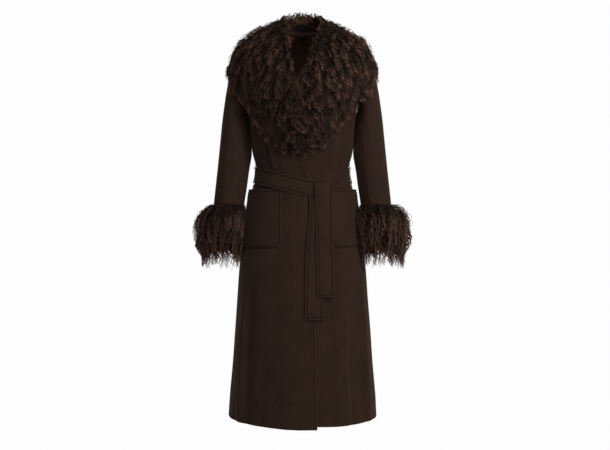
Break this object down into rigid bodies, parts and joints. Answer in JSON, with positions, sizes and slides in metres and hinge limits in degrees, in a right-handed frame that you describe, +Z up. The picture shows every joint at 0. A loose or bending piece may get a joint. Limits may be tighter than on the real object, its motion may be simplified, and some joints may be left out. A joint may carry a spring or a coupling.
{
  "type": "wool coat",
  "caption": "Long wrap coat in double-faced wool, worn form, with curly lambskin shawl collar and cuffs, tie belt and patch pockets.",
  "frame": {"origin": "on the body's middle at the height of the back neck seam, where the wearer's shoulders carry the coat", "axes": "+Z up along the coat, the front faces -Y, +X towards the wearer's left"},
  "size_m": [0.676, 0.3489, 1.2479],
  "materials": {
    "wool_cloth": "matt brushed double-faced wool, dark brown",
    "curly_lambskin": "long curly lambskin hair, dark brown, soft sheen"
  },
  "bodies": {
    "root": {"front_right": "wool_cloth", "front_left": "wool_cloth", "back_right": "wool_cloth", "back_left": "wool_cloth", "sleeve_top_right": "wool_cloth", "sleeve_under_right": "wool_cloth", "sleeve_top_left": "wool_cloth", "sleeve_under_left": "wool_cloth", "pocket_right": "wool_cloth", "pocket_left": "wool_cloth", "belt_back": "wool_cloth", "belt_right": "wool_cloth", "belt_left": "wool_cloth", "belt_knot": "wool_cloth", "belt_tail_front": "wool_cloth", "belt_tail_rear": "wool_cloth", "belt_loop_right": "wool_cloth", "belt_loop_left": "wool_cloth", "hanger_loop": "wool_cloth", "collar_right": "curly_lambskin", "collar_left": "curly_lambskin", "cuff_right": "curly_lambskin", "cuff_left": "curly_lambskin"}
  },
  "joints": []
}
